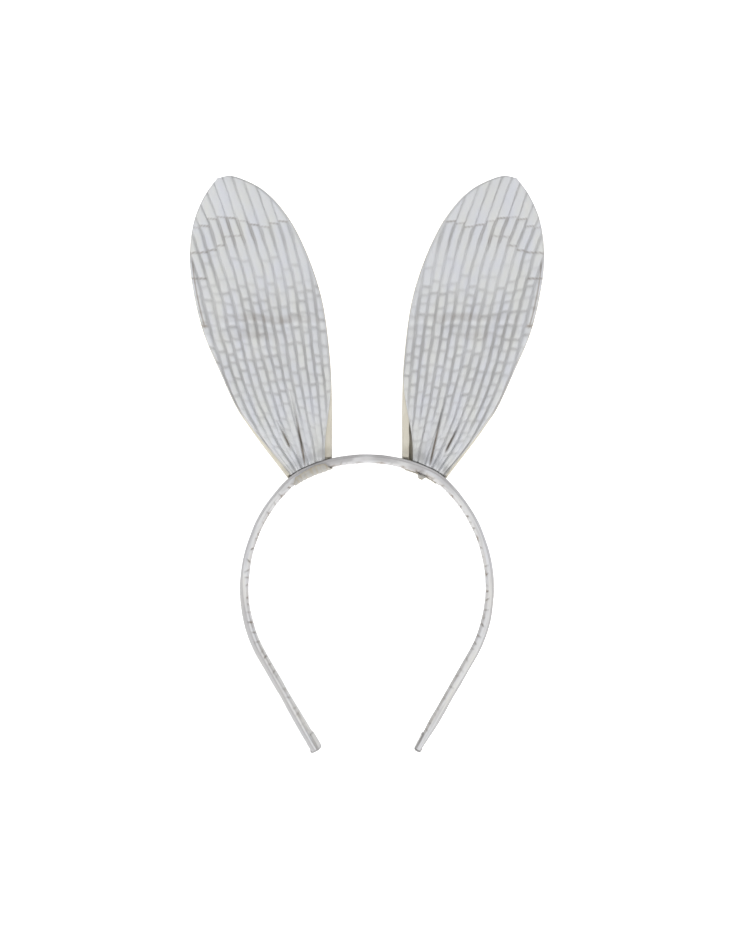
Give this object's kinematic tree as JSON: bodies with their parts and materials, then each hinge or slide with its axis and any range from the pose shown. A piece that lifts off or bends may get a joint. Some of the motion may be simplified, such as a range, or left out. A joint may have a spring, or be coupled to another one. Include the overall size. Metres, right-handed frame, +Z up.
{
  "type": "animal ears headband",
  "caption": "Slim fabric-covered costume headband with tall wired fabric rabbit ears that tilt at the base and fold across the middle, on a springy horseshoe band.",
  "frame": {"origin": "middle of the band's inner face at the crown, where it rests on the head", "axes": "+Z up as worn, along the ears; -Y to the front; +X to the viewer's right as seen from the front"},
  "size_m": [0.1918, 0.0098, 0.3122],
  "materials": {
    "silver_fabric": "crinkled ribbed silver-white fabric with a soft satin sheen",
    "cream_fabric": "plain woven cream fabric, matt",
    "core_plastic": "white springy plastic strip",
    "steel_wire": "bare bendable wire",
    "thread": "off-white sewing thread"
  },
  "bodies": {
    "crown": {"crown_core": "core_plastic", "crown_cover": "silver_fabric", "right_ear_tab": "cream_fabric", "right_tab_stitches": "thread", "left_ear_tab": "cream_fabric", "left_tab_stitches": "thread"},
    "right_leg": {"right_leg_core": "core_plastic", "right_leg_cover": "silver_fabric", "right_tip_fold": "silver_fabric"},
    "right_ear_lower": {"right_ear_front_lower": "silver_fabric", "right_ear_back_lower": "cream_fabric", "right_ear_wire_outer": "steel_wire", "right_ear_wire_inner": "steel_wire", "right_gather_thread": "thread"},
    "right_ear_upper": {"right_ear_front_upper": "silver_fabric", "right_ear_back_upper": "cream_fabric", "right_ear_wire_tip": "steel_wire"},
    "left_leg": {"left_leg_core": "core_plastic", "left_leg_cover": "silver_fabric", "left_tip_fold": "silver_fabric"},
    "left_ear_lower": {"left_ear_front_lower": "silver_fabric", "left_ear_back_lower": "cream_fabric", "left_ear_wire_outer": "steel_wire", "left_ear_wire_inner": "steel_wire", "left_gather_thread": "thread"},
    "left_ear_upper": {"left_ear_front_upper": "silver_fabric", "left_ear_back_upper": "cream_fabric", "left_ear_wire_tip": "steel_wire"}
  },
  "joints": [
    {"name": "right_leg_open", "type": "hinge", "parent": "crown", "child": "right_leg", "pos_m": [0.04431, 0, -0.01343], "axis": [0, -1, 0], "range_deg": [-5, 18], "stiffness_Nm_per_rad": 0.8},
    {"name": "right_ear_tilt", "type": "hinge", "parent": "crown", "child": "right_ear_lower", "pos_m": [0.03271, 0.002, 0.00041], "axis": [0.9174, 0, -0.3979], "range_deg": [-60, 60]},
    {"name": "right_ear_fold", "type": "hinge", "parent": "right_ear_lower", "child": "right_ear_upper", "pos_m": [0.0548, 0.002, 0.073], "axis": [1, 0, 0], "range_deg": [-45, 75]},
    {"name": "left_leg_open", "type": "hinge", "parent": "crown", "child": "left_leg", "pos_m": [-0.04431, 0, -0.01343], "axis": [0, 1, 0], "range_deg": [-5, 18], "stiffness_Nm_per_rad": 0.8},
    {"name": "left_ear_tilt", "type": "hinge", "parent": "crown", "child": "left_ear_lower", "pos_m": [-0.03271, 0.002, 0.00041], "axis": [0.9174, 0, 0.3979], "range_deg": [-60, 60]},
    {"name": "left_ear_fold", "type": "hinge", "parent": "left_ear_lower", "child": "left_ear_upper", "pos_m": [-0.0548, 0.002, 0.073], "axis": [1, 0, 0], "range_deg": [-45, 75]}
  ]
}
